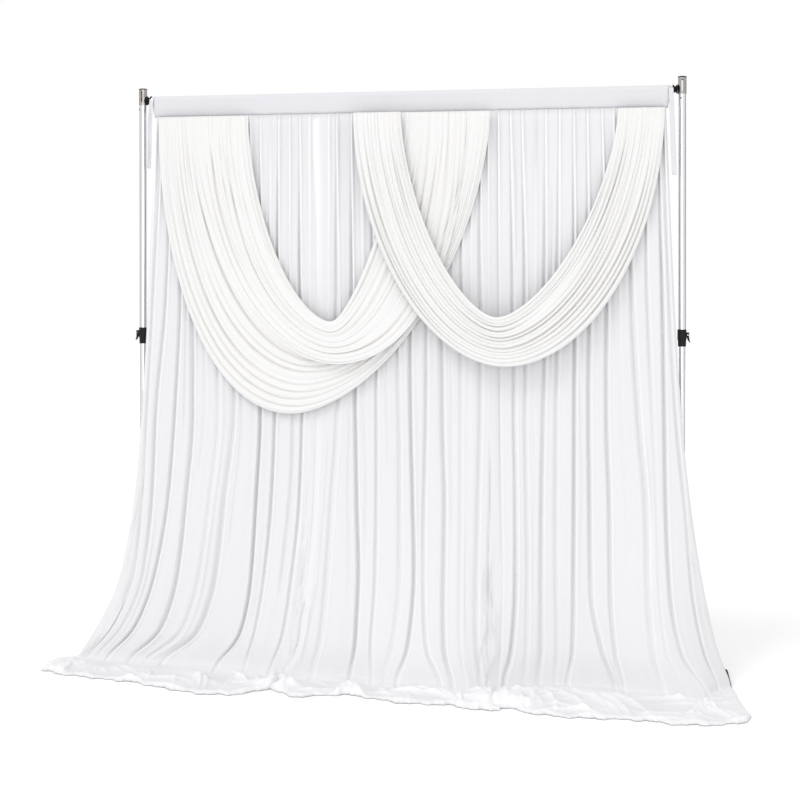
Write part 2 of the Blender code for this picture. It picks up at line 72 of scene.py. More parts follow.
# %% Measure the stand
left_low, left_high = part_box("post_upper_left")
right_low, right_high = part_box("post_upper_right")
bar_low, bar_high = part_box("crossbar")
POST_X = ((right_low.x + right_high.x) - (left_low.x + left_high.x)) / 4
STAND = Vector(((left_low.x + right_high.x) / 2, (left_low.y + left_high.y) / 2, 0))
BAR_Z = (bar_low.z + bar_high.z) / 2
BAR_R = (bar_high.z - bar_low.z) / 2
PLATE_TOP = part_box("base_plate_left")[1].z
PLATE_HALF = (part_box("base_plate_left")[1].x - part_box("base_plate_left")[0].x) / 2
SEAM_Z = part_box("heading")[0].z + 0.001
print("posts", round(2 * POST_X, 3), "apart; bar at", round(BAR_Z, 3), "seam at", round(SEAM_Z, 4))

# %% [markdown]
# ## The camera
# The stand is seen from a little to its right, from two metres up and seven and a half metres away. A nearly
# level camera with a small downward shift keeps the posts upright, as an architect's lens does.

# %% Camera
camera = bpy.data.cameras.new("camera")
camera.lens = 65.1
camera.sensor_width = 36.0
camera.shift_y = -0.125
camera.clip_start, camera.clip_end = 0.1, 100
eye = bpy.data.objects.new("camera", camera)
bpy.context.scene.collection.objects.link(eye)
eye.location = STAND + Vector((1.1779, -7.4368, 1.9575))
turn, dip = math.radians(9.181), math.radians(0.289)
looks = Vector((-math.sin(turn) * math.cos(dip), math.cos(turn) * math.cos(dip), -math.sin(dip)))
eye.rotation_euler = looks.to_track_quat("-Z", "Y").to_euler()
bpy.context.scene.camera = eye

# %% [markdown]
# ## Wires that do arithmetic
# A material is a graph of nodes. Written out link by link it is hard to read, so a small class wraps a
# socket and turns +, - and * into Math nodes. The reflected forms make 1 - mask work too. Every other kind
# of node comes from one method that takes its type, its settings and its inputs.

# %% Material helpers
class Wire:
    def __init__(self, paint, socket):
        self.paint, self.socket = paint, socket

    def maths(self, operation, *values):
        return self.paint.node("ShaderNodeMath", {"operation": operation}, dict(enumerate(values)))

    def __add__(self, other):
        return self.maths("ADD", self, other)

    def __sub__(self, other):
        return self.maths("SUBTRACT", self, other)

    def __rsub__(self, other):
        return self.maths("SUBTRACT", other, self)

    def __mul__(self, other):
        return self.maths("MULTIPLY", self, other)

    __radd__, __rmul__ = __add__, __mul__

    def clamp(self):
        return self.paint.node("ShaderNodeClamp", {}, {0: self})


class Paint:
    """A new material with its Principled shader's constant sockets set."""

    def __init__(self, name, **sockets):
        self.material = bpy.data.materials.new(name)
        self.material.use_nodes = True
        self.nodes, self.links = self.material.node_tree.nodes, self.material.node_tree.links
        self.shader = self.nodes["Principled BSDF"]
        for socket, value in sockets.items():
            self.set(self.shader.inputs[socket.replace("_", " ")], value)

    def set(self, socket, value):
        if isinstance(value, Wire):
            self.links.new(value.socket, socket)
        else:
            socket.default_value = value

    def node(self, kind, settings, inputs, out=0):
        made = self.nodes.new(kind)
        for key, value in settings.items():
            setattr(made, key, value)
        for key, value in inputs.items():
            self.set(made.inputs[key], value)
        return Wire(self, made.outputs[out])

    def place(self, output, stretch=(1, 1, 1)):
        where = self.node("ShaderNodeTexCoord", {}, {}, output)
        return self.node("ShaderNodeMapping", {}, {"Vector": where, "Scale": stretch})

    def noise(self, output, stretch, detail=2.0, rough=0.5):
        inputs = {"Vector": self.place(output, stretch), "Scale": 1.0, "Detail": detail, "Roughness": rough}
        return self.node("ShaderNodeTexNoise", {}, inputs)

    def blend(self, mask, dark, light):
        """dark where the mask is 0, light where it is 1."""
        return self.node("ShaderNodeMix", {"data_type": "RGBA"}, {0: mask, 6: dark, 7: light}, 2)

    def bump(self, height, strength, distance):
        inputs = {"Height": height, "Strength": strength, "Distance": distance}
        self.feed("Normal", self.node("ShaderNodeBump", {}, inputs))

    def feed(self, socket, value):
        self.set(self.shader.inputs[socket], value)


# %% [markdown]
# ## Cloth finish
# The cloth is a warp knit: fine upright ribs a little over a millimetre apart, matt with a soft sheen at
# grazing angles. Faint long streaks run down it where the yarn was pulled by the gathering. Both follow the
# sheet's own UV map, which is laid out in metres of flat cloth, so the ribs bend with the folds. Each sheet
# also carries painted light and shade in its colour. On a panel it is a painted highlight, a lighter colour
# on its ridges and shoulders and on the cloth lying on the floor. On a swag it is a painted shade, a darker
# and warmer colour in the bottoms of its folds. The panels are cool white and the swags a touch warmer, so
# they are mixes of one recipe.

# %% Knit
def knit(name, dark, light, painted_shading_colour, sheen, streak):
    paint = Paint(name, Sheen_Weight=sheen, Sheen_Roughness=0.45, Specular_IOR_Level=0.25)
    ribs = paint.node("ShaderNodeTexWave", {"bands_direction": "X"},
                      {"Vector": paint.place("UV"), "Scale": 130.0, "Distortion": 0.6,
                       "Detail": 1.0, "Detail Scale": 2.0}, 1)
    loops = paint.node("ShaderNodeTexWave", {"bands_direction": "Y"},
                       {"Vector": paint.place("UV"), "Scale": 190.0, "Distortion": 0.4}, 1)
    streaks = paint.noise("UV", (170, 1.6, 1), 4.0, 0.55)
    slubs = paint.noise("UV", (38, 0.7, 1))
    clouds = paint.noise("UV", (3.0, 1.4, 1))
    tone = (0.55 * streaks + 0.25 * clouds + 0.10 * ribs).clamp()
    # Painted light and shade: this point attribute mixes in the third colour, a painted highlight on a panel
    # and a painted shade on a swag.
    painted_shading = paint.node("ShaderNodeAttribute", {"attribute_name": "painted_shading"}, {}, 2)
    paint.feed("Base Color", paint.blend(painted_shading, paint.blend(tone, (*dark, 1), (*light, 1)), (*painted_shading_colour, 1)))
    paint.feed("Roughness", 0.70 + 0.18 * clouds)
    paint.bump(0.10 * ribs + 0.06 * loops + streak * streaks + 0.5 * slubs, 0.55, 0.0016)
    return paint.material


# The third colour of each is painted shading: lighter on the panels for their painted highlight, darker and
# warmer on the swags for their painted shade. The heading's equals its dark tone, so it has none.
panel_cloth = knit("panel cloth", (0.672, 0.672, 0.686), (0.722, 0.722, 0.734),
                   (0.806, 0.806, 0.818), 0.08, 0.40)
swag_cloth = knit("swag cloth", (0.724, 0.722, 0.720), (0.780, 0.779, 0.777),
                  (0.705, 0.675, 0.635), 0.10, 0.55)
heading_cloth = knit("heading cloth", (0.625, 0.623, 0.648), (0.675, 0.673, 0.697),
                     (0.625, 0.623, 0.648), 0.08, 0.20)


# %% [markdown]
# ## Cloth by numbers
# A smooth curve through a table never overshoots its values, so a valley can't wander past its neighbour. A
# groove is the shape of a valley across the cloth: soft at its lips and round at its bottom. Seeded ripples
# give the small unevenness that keeps folds from looking machined.

# %% Cloth helpers
PANEL_THICK, SWAG_THICK, TIE_THICK = 0.0022, 0.0018, 0.0012


def curve(keys, values, at):
    """Smooth interpolation that never overshoots. values is a list, or a list of columns for each key."""
    keys, values, at = np.asarray(keys, float), np.asarray(values, float), np.asarray(at, float)
    flat = values.ndim == 1
    values = values.reshape(len(keys), -1)
    step = np.diff(keys)[:, None]
    rise = np.diff(values, axis=0) / step
    slope = np.zeros_like(values)
    if len(keys) > 2:
        left, right = rise[:-1], rise[1:]
        same = left * right > 0
        total = np.where(same, left + right, 1.0)
        slope[1:-1] = np.where(same, 2 * left * right / total, 0.0)
    slope[0], slope[-1] = rise[0], rise[-1]
    i = np.clip(np.searchsorted(keys, at, side="right") - 1, 0, len(keys) - 2)
    h = (keys[i + 1] - keys[i])[:, None]
    f = np.clip((at - keys[i])[:, None] / h, 0, 1)
    made = (
        values[i] * (1 + 2 * f) * (1 - f) ** 2 + slope[i] * h * f * (1 - f) ** 2
        + values[i + 1] * f * f * (3 - 2 * f) - slope[i + 1] * h * f * f * (1 - f)
    )
    return made[:, 0] if flat else made


def groove(distance, reach):
    """1 at a valley's bottom, easing to 0 at reach metres from it."""
    return 0.5 + 0.5 * np.cos(math.pi * np.clip(np.abs(distance) / reach, 0, 1))


def ease(value):
    value = np.clip(value, 0, 1)
    return value * value * (3 - 2 * value)


def ripples(across, along, seed, waves):
    """Fine wandering ridges along the cloth that fade in and out. waves is (wavelength, height) pairs."""
    rng = np.random.default_rng(seed)
    total = 0.0
    for wavelength, height in waves:
        for _ in range(3):
            drift, swell = rng.uniform(0.4, 1.6, 2)
            phases = rng.uniform(0, 2 * math.pi, 3)
            length = wavelength * rng.uniform(0.7, 1.4)
            wander = 1.3 * np.sin(along * drift * 2.1 + phases[0])
            fade = 0.5 + 0.5 * np.sin(along * swell * 2.9 + across * 9 * drift + phases[1])
            total = total + height * fade * np.sin(2 * math.pi * across / length + wander + phases[2])
    return total


def cloth(name, grid, uv, material, node, thick=PANEL_THICK, closed=False, painted_shading=None):
    """A sheet from a grid of points round the stand's middle, with its UV map in metres of cloth."""
    rows, columns = grid.shape[:2]
    points = grid.reshape(-1, 3) + np.array(STAND)
    index = np.arange(rows * columns).reshape(rows, columns)
    if closed:
        index = np.concatenate([index, index[:, :1]], axis=1)
    corners = (index[:-1, :-1], index[1:, :-1], index[1:, 1:], index[:-1, 1:])
    faces = np.stack(corners, axis=-1).reshape(-1, 4)
    mesh = bpy.data.meshes.new(name)
    mesh.from_pydata(points.tolist(), [], faces.tolist())
    layer = mesh.uv_layers.new(name="flat cloth")
    flat = uv.reshape(-1, 2)[faces]
    if closed:
        wrap = faces[:, 3] % columns == 0
        flat[wrap, 2:, 0] = flat[wrap, :2, 0]
    layer.data.foreach_set("uv", flat.reshape(-1).astype(np.float32))
    # The painted light and shade of each point: a painted highlight on a panel, a painted shade on a swag,
    # none on the heading and ties.
    marks = np.zeros((rows, columns)) if painted_shading is None else painted_shading
    attribute = mesh.attributes.new("painted_shading", "FLOAT", "POINT")
    attribute.data.foreach_set("value", marks.reshape(-1).astype(np.float32))
    mesh.materials.append(material)
    mesh.shade_smooth()
    piece = bpy.data.objects.new(name, mesh)
    bpy.context.scene.collection.objects.link(piece)
    bpy.context.view_layer.objects.active = piece
    piece.select_set(True)
    bpy.ops.object.mode_set(mode="EDIT")
    bpy.ops.mesh.select_all(action="SELECT")
    bpy.ops.mesh.normals_make_consistent(inside=False)
    bpy.ops.object.mode_set(mode="OBJECT")
    solid = piece.modifiers.new("thickness", "SOLIDIFY")
    solid.thickness, solid.offset = thick, 0.0
    bpy.ops.object.modifier_apply(modifier="thickness")
    piece.select_set(False)
    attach(piece, "root")
    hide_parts(node)
    triangles = sum(len(p.vertices) - 2 for p in piece.data.polygons)
    print(name, rows, "x", columns, "points,", triangles, "triangles")
    return piece


def lengths(grid):
    """Metres of cloth down each column, for the UV map."""
    steps = np.linalg.norm(np.diff(grid, axis=0), axis=2)
    return np.concatenate([np.zeros((1, grid.shape[1])), np.cumsum(steps, axis=0)])


# %% [markdown]
# ## The floor under the puddle
# Where a hem runs over a base plate the cloth rises by the plate's thickness. A soft step round the plate
# keeps the cloth a few millimetres clear of its edge.

# %% Ground
PLATE_CLEAR, PLATE_SLOPE, SLOPE_STEEP = 0.004, 0.075, 1.6


def ground(x, y):
    height = np.zeros_like(x)
    for post in (-POST_X, POST_X):
        outside = np.maximum(np.abs(x - post), np.abs(y)) - PLATE_HALF
        rise = ease(SLOPE_STEEP * (1 - outside / PLATE_SLOPE))
        height = np.maximum(height, (PLATE_TOP + PLATE_CLEAR) * rise)
    return height


print("the plates lift the cloth by", round(PLATE_TOP + PLATE_CLEAR, 4))

# %% [markdown]
# ## Folds of the panels
# One row of the table is one valley, from left to right across a panel. Its first numbers are its place
# across the curtain at a list of heights, then where it meets the floor and where its hem lies. deep_top to
# deep_low are its depth at head height, at the middle and near the floor, left and right are how far its two
# flanks reach, and half says how far down a second pleat runs between this valley and the next one. All of
# them are in millimetres.

# %% Fold tables
FOLD_HEIGHTS = (2.888, 1.90, 1.30, 0.88, 0.45, 0.18, 0.03)
Fold = namedtuple("Fold", "top high mid low knee ankle floor lands hem_x hem_y deep_top deep_mid deep_low "
                          "left right half")


def in_metres(*rows):
    return [Fold(*(value / 1000 for value in row)) for row in rows]


LEFT_FOLDS = in_metres(
    (-1335, -1380, -1415, -1450, -1525, -1645, -1745, -75, -1860, -130, 6, 6, 6, 20, 20, 0),
    (-1300, -1350, -1385, -1405, -1450, -1560, -1690, -85, -1848, -340, 10, 12, 10, 18, 22, 0),
    (-1240, -1280, -1335, -1350, -1395, -1500, -1640, -100, -1740, -400, 22, 26, 8, 26, 24, 0),
    (-1180, -1200, -1230, -1260, -1330, -1430, -1580, -115, -1600, -430, 22, 26, 30, 22, 20, 0),
    (-1100, -1130, -1130, -1160, -1200, -1280, -1450, -140, -1450, -465, 30, 32, 36, 34, 26, 2400),
    (-990, -990, -990, -1030, -1080, -1160, -1360, -150, -1310, -485, 14, 12, 8, 34, 34, 2200),
    (-880, -890, -905, -950, -990, -1070, -1270, -160, -1170, -550, 18, 22, 28, 36, 34, 1900),
    (-770, -765, -760, -775, -790, -835, -960, -200, -930, -640, 36, 42, 38, 24, 24, 1900),
    (-668, -672, -680, -690, -718, -755, -800, -230, -760, -640, 40, 32, 18, 24, 22, 1700),
    (-556, -548, -535, -540, -570, -600, -660, -260, -650, -560, 30, 26, 14, 20, 20, 1900),
    (-454, -452, -452, -457, -476, -500, -545, -300, -578, -480, 10, 12, 8, 16, 16, 0),
)
MIDDLE_FOLDS = in_metres(
    (-446, -444, -444, -449, -466, -492, -550, -305, -600, -485, 6, 8, 8, 16, 16, 1900),
    (-357, -354, -350, -370, -382, -395, -430, -300, -455, -625, 26, 14, 14, 26, 46, 0),
    (-282, -270, -250, -235, -212, -212, -235, -290, -210, -540, 32, 34, 32, 26, 24, 2200),
    (-180, -155, -140, -132, -125, -130, -120, -330, -80, -580, 22, 18, 18, 20, 20, 2200),
    (-85, -50, -22, -12, 0, -20, -60, -350, 30, -625, 16, 14, 6, 28, 30, 2200),
    (10, 30, 42, 60, 80, 65, 10, -370, 110, -645, 32, 34, 28, 24, 22, 2200),
    (105, 120, 120, 118, 132, 160, 240, -400, 220, -640, 24, 22, 20, 26, 22, 2200),
    (200, 200, 206, 224, 232, 250, 300, -400, 320, -640, 26, 26, 24, 30, 26, 2200),
    (295, 298, 300, 306, 315, 330, 365, -390, 400, -675, 16, 10, 6, 24, 30, 2200),
    (390, 398, 400, 394, 395, 410, 435, -350, 460, -700, 22, 20, 14, 34, 30, 2200),
    (472, 478, 483, 492, 502, 502, 490, -310, 545, -690, 10, 12, 10, 16, 16, 0),
)
RIGHT_FOLDS = in_metres(
    (486, 492, 500, 508, 520, 520, 510, -300, 490, -665, 8, 10, 12, 18, 18, 0),
    (550, 566, 572, 582, 588, 575, 540, -290, 590, -640, 20, 22, 34, 16, 40, 0),
    (608, 628, 630, 640, 650, 652, 640, -270, 700, -710, 24, 14, 8, 22, 26, 2300),
    (730, 728, 722, 716, 718, 722, 710, -250, 800, -735, 28, 22, 14, 26, 24, 0),
    (800, 792, 786, 786, 792, 800, 790, -240, 880, -750, 22, 12, 6, 24, 24, 0),
    (872, 878, 880, 880, 880, 878, 850, -240, 990, -748, 32, 32, 24, 22, 22, 0),
    (940, 950, 952, 958, 965, 1020, 1080, -250, 1110, -742, 28, 28, 14, 24, 26, 0),
    (1013, 1038, 1042, 1056, 1062, 1085, 1125, -290, 1240, -745, 28, 26, 18, 26, 24, 2200),
    (1130, 1165, 1200, 1235, 1245, 1265, 1310, -330, 1370, -785, 26, 26, 16, 36, 42, 0),
    (1220, 1245, 1272, 1292, 1306, 1340, 1430, -340, 1480, -775, 14, 6, 5, 24, 24, 0),
    (1290, 1320, 1330, 1336, 1356, 1410, 1530, -300, 1590, -750, 28, 28, 18, 24, 24, 0),
    (1320, 1355, 1388, 1430, 1465, 1518, 1585, -200, 1690, -690, 10, 16, 22, 18, 20, 0),
    (1338, 1380, 1418, 1462, 1528, 1590, 1650, -110, 1712, -600, 6, 8, 8, 20, 20, 0),
)
# Weaker creases between the valleys: which fold and what share of its width, the heights between which it
# shows, its depth and the reach of its flanks in millimetres.
LEFT_CREASES = (
    (0, 0.5, 1.35, 0.35, 5, 10), (3, 0.55, 2.8, 1.1, 7, 12), (4, 0.45, 2.8, 0.9, 6, 14),
    (5, 0.5, 1.6, 0.2, 5, 16), (6, 0.3, 1.9, 0.5, 6, 14), (7, 0.55, 1.6, 0.1, 5, 12),
    (8, 0.65, 1.7, 0.3, 12, 16), (9, 0.45, 1.1, 0.15, 6, 10), (2, 0.5, 0.9, 0.1, 5, 16),
)
MIDDLE_CREASES = (
    (0, 0.55, 1.4, 0.2, 6, 14), (1, 0.7, 1.5, 0.3, 5, 14), (2, 0.42, 1.6, 0.5, 6, 10),
    (3, 0.5, 1.7, 0.9, 6, 14), (5, 0.5, 1.5, 0.4, 4, 10), (7, 0.5, 1.7, 0.6, 6, 14),
    (9, 0.6, 1.25, 0.1, 12, 10), (8, 0.4, 0.9, 0.1, 4, 14),
)
RIGHT_CREASES = (
    (1, 0.4, 2.8, 1.8, 6, 10), (3, 0.55, 2.6, 1.4, 6, 10), (5, 0.5, 1.6, 0.4, 5, 12),
    (7, 0.5, 1.7, 0.5, 6, 20), (8, 0.5, 1.3, 0.2, 5, 16), (11, 0.45, 1.0, 0.1, 8, 12),
    (9, 0.4, 1.0, 0.2, 5, 16), (2, 0.55, 1.5, 0.3, 4, 16),
)

# Where a panel's loose edge crumples near the floor, by the panel's seed: the fold it starts from, below
# what height, how high its small ridges stand, and how far in they run, in millimetres.
CRUMPLES = {
    11: ((10, 0.95, 7, (8, 28, 47)), (0, 1.20, 4, (14, 33))),
    12: ((10, 0.85, 9, (10, 27, 46, 66)), (0, 0.80, 6, (12, 30))),
    13: ((12, 1.10, 4, (12, 30)),),
}

print(len(LEFT_FOLDS) + len(MIDDLE_FOLDS) + len(RIGHT_FOLDS), "valleys in three panels")

# %% [markdown]
# ## From fold to surface
# A column of the grid starts at the seam, hangs plumb, sweeps forward and sideways, meets the floor and runs
# on to the hem. That path is rounded where it meets the floor, and then the folds are pushed out of it at
# right angles, forward where it hangs and upward where it lies. A cloth simulation could make that path, but
# a worked-out one keeps every valley where it was dressed.

# %% Panel path
SWEEP_FROM, SWEEP_POWER = 1.90, 2.6
PANEL_Y, SEAM_Y = -0.016, -0.010
COLUMN_PITCH, PATH_STEP = 0.0036, 0.006
CROWDING = 0.085  # how much closer the grid's columns are at a valley
HEM_WAVES = ((39, 2, 0.009), (83, 0, 0.006), (190, 0, 0.003))  # turns a metre, start and height


def panel_columns(folds):
    """Fold coordinates of the grid's columns, closer together at the valleys than between them."""
    places = []
    for i, (here, there) in enumerate(zip(folds, folds[1:])):
        width = (there.mid - here.mid + there.ankle - here.ankle) / 2
        count = max(8, round(width / COLUMN_PITCH))
        share = np.arange(count) / count
        places.extend(i + share - CROWDING * np.sin(2 * math.pi * share))
    return np.array(places + [len(folds) - 1.0])


def panel_path(folds, s, round_by):
    """Points down each column, an even step apart, and the share of the floor part that lies behind each."""
    i = np.minimum(s.astype(int), len(folds) - 2)
    f = (s - i)[:, None]
    table = np.array(folds, float)
    at = Fold(*(table[i] * (1 - f) + table[i + 1] * f).T)
    hem_y = at.hem_y + sum(high * np.sin(turns * at.hem_x + start) for turns, start, high in HEM_WAVES)
    z = np.linspace(SEAM_Z + 0.001, 0.0, 240)
    x = curve(FOLD_HEIGHTS[::-1], np.array(at[:len(FOLD_HEIGHTS)])[::-1], z)
    sweep = np.clip((SWEEP_FROM - z) / SWEEP_FROM, 0, 1)[:, None] ** SWEEP_POWER
    y = PANEL_Y + (at.lands[None] - PANEL_Y) * sweep
    hang = np.stack([x, y, np.repeat(z[:, None], len(s), 1)], axis=2)
    t = np.linspace(0, 1, 80)[1:, None]
    floor = np.stack([x[-1] + (at.hem_x - x[-1]) * t, y[-1] + (hem_y - y[-1]) * t, 0 * t * x[-1]], axis=2)
    whole = np.concatenate([hang, floor])
    share = np.concatenate([np.zeros((len(hang), len(s))), np.repeat(t, len(s), 1)])
    along = lengths(whole)
    rows = int(round(float(along[-1].mean()) / PATH_STEP))
    path, lain = np.empty((rows, len(s), 3)), np.empty((rows, len(s)))
    for j in range(len(s)):
        even = np.linspace(0, along[-1, j], rows)
        lain[:, j] = np.interp(even, along[:, j], share[:, j])
        for k in range(3):
            path[:, j, k] = np.interp(even, along[:, j], whole[:, j, k])
    return rounded(path, int(round_by / PATH_STEP)), lain


def rounded(path, reach):
    """The path with its corners rounded over reach steps each way, its two ends held in place."""
    weights = np.hanning(2 * reach + 3)[1:-1]
    weights /= weights.sum()
    before = path[:1] + (path[:1] - path[reach:0:-1])
    after = path[-1:] + (path[-1:] - path[-2:-reach - 2:-1])
    padded = np.concatenate([before, path, after])
    return sum(w * padded[k:k + len(path)] for k, w in enumerate(weights))


# %% [markdown]
# ## Relief of a panel
# Each valley has a broad part and a crisp line at its bottom, and ends on its right in a raised shoulder,
# because the cloth leans that way. Extra pleats run part of the way down. Under the heading the cloth stands
# in narrow ridges with flat cloth between them. Weak creases, crumpled edges and fine ripples come last.

# %% Panel relief
SEAM_STANDS, FOLD_STANDS, FOLD_ROUNDS = 0.007, 0.019, 0.005  # how far the cloth stands off its path
TOP_DEPTH, TOP_REACH = 0.005, 0.009  # of a valley at the seam
BROAD, BROAD_GROWS, CRISP, CRISP_GROWS = 0.55, 0.60, 0.0022, 0.15  # share or size, and share of the depth
# The two flanks: share of the table's reach, the crisp line's reach, the shoulder's height and its share of
# the depth, and how much painted highlight lightens the shoulder's colour.
RIGHT_FLANK, LEFT_FLANK = (0.70, 0.0085, 0.0030, 0.16, 0.60), (0.80, 0.0125, 0.0008, 0.03, 0.08)


def bell(distance, width):
    return np.exp(-(distance / width) ** 2)


def valleys(table, i, f, across, z, from_top, settled):
    """The relief of the two valleys that each point lies between, and the painted highlight on their
    shoulders.
    """
    relief, painted_highlight = 0.0, 0.0
    for flank, column, side, k in (
        (RIGHT_FLANK, table.right, f, i), (LEFT_FLANK, table.left, 1 - f, i + 1),
    ):
        share, crisp, lip, lip_grows, light = flank
        top, mid, low = (part[k][None] for part in (table.deep_top, table.deep_mid, table.deep_low))
        depth = low + (mid - low) * ease((z - 0.15) / 0.8) + (top - mid) * ease((z - 1.2) / 0.7)
        reach = TOP_REACH + (column[k][None] * share - TOP_REACH) * ease(from_top / 1.4)
        broad = TOP_DEPTH + (BROAD_GROWS * depth - TOP_DEPTH) * settled
        relief = relief - BROAD * broad * groove(side * across, reach)
        relief = relief - (CRISP + CRISP_GROWS * depth) * settled * groove(side * across, crisp)
        shoulder = settled * bell(side * across - 0.45 * reach - 0.009, 0.0070)
        relief = relief + (lip + lip_grows * depth) * shoulder
        # Painted highlight: the shoulder's colour is made lighter, more so beside a deep valley.
        painted_highlight = painted_highlight + light * shoulder * np.clip(depth / 0.022, 0.2, 1)
    return relief, painted_highlight


def ridges(table, uneven, i, f, across, from_top):
    """Narrow stretched ridges under the heading, one at each valley and one at each half pleat."""
    pinched = 0.62 * bell(from_top, 0.46) + 0.38 * bell(from_top, 1.15)
    pinched = pinched * (0.40 + 0.60 * ease(from_top / 0.06))
    width = 0.011 + 0.004 * ease(from_top / 0.5)
    total = 0.0
    for start, there in ((0.0, 1.0), (0.5, table.half[i][None] > 0)):
        past = (f - start) * across
        shape = ease(past / 0.004) * (1 - ease((past - width + 0.005) / 0.010)) * (past > 0)
        total = total + pinched * shape * there
    # The second value is a painted highlight on these ridges.
    return 0.0150 * uneven[i] * total, 1.3 * total


def crumpled(crumples, s, across, z):
    """Small wandering ridges beside a loose edge."""
    total = 0.0
    for edge, top, high, places in crumples:
        in_from = np.abs(edge - s)[None] * across
        shows = ease((top - z) / 0.45) * (np.abs(edge - s) < 1.2)[None]
        for k, place in enumerate(places):
            sway = 0.010 * np.sin(z * (8 + 3 * k) + 2.1 * k) + 0.004 * np.sin(z * 27 + k)
            narrow = 0.0050 + 0.0020 * np.sin(z * 15 + 5 * k)
            total = total + high / 1000 * shows * bell(in_from - place / 1000 - sway, narrow)
    return total


def panel_relief(folds, creases, s, path, lain, seed):
    """How far the cloth stands off its path, in metres, and how much painted highlight its ridges and
    shoulders get.
    """
    table = Fold(*np.array(folds, float).T)
    i = np.minimum(s.astype(int), len(folds) - 2)
    f = (s - i)[None]
    valley = np.searchsorted(s, np.arange(len(folds)) - 1e-9)
    across = np.linalg.norm(path[:, valley[i + 1], :2] - path[:, valley[i], :2], axis=2)
    z = path[:, :, 2]
    from_top = np.clip(SEAM_Z - z, 0, None)
    settled = ease((from_top - 0.12) / 0.75)
    uneven = np.random.default_rng(seed).uniform(0.8, 1.2, len(folds))
    swell = uneven[i] * (1 - f) + uneven[i + 1] * f
    rounds = np.sin(math.pi * f) * np.minimum(1, across / 0.08)
    relief = SEAM_STANDS + settled * (FOLD_STANDS * swell + FOLD_ROUNDS * rounds)
    sunk, painted_highlight = valleys(table, i, f, across, z, from_top, settled)
    stands, painted_ridge_highlight = ridges(table, uneven, i, f, across, from_top)
    half = table.half[i][None]
    pleat = np.where(half > 0, ease((z - half + 0.35) / 0.7), 0) * (1 - 0.5 * settled)
    relief = relief + sunk + stands - 0.007 * pleat * settled * groove((f - 0.5) * across, 0.014)
    for fold, share, top, bottom, deep, reach in creases:
        shows = ease((top - z) / 0.25) * ease((z - bottom) / 0.25)
        sway = 0.004 * np.sin(z * (5 + fold % 3) + 2 * fold)
        near = groove((s[None] - fold - share) * across + sway, 0.8 * reach / 1000)
        relief = relief - deep / 1000 * shows * near
    relief = relief + crumpled(CRUMPLES.get(seed, ()), s, across, z)
    flat_x = np.cumsum(across[:1] * np.gradient(s)[None], axis=1)
    fine = ripples(flat_x, SEAM_Z - z + 2 * lain, seed, ((0.014, 0.00010), (0.030, 0.00025), (0.075, 0.0008)))
    calm = 0.45 + 0.55 * ease((z - 0.01) / 0.16)
    return relief * calm + fine * (0.4 + 0.6 * settled), np.clip(painted_highlight + painted_ridge_highlight, 0, 1)


# %% [markdown]
# ## The puddle
# Past the floor line a panel's spare length lies low and nearly flat. Its folds open out within a hand's
# width and it ends in a thin rolled hem that wanders. What shows on it is a scatter of narrow crests where
# the cloth was kicked into place. The clear ones are given one by one, among them the knots where two panels
# meet, and a few seeded ones fill in between. A crest has a place in metres, then its half length, half
# width, turn and height, in millimetres and degrees.

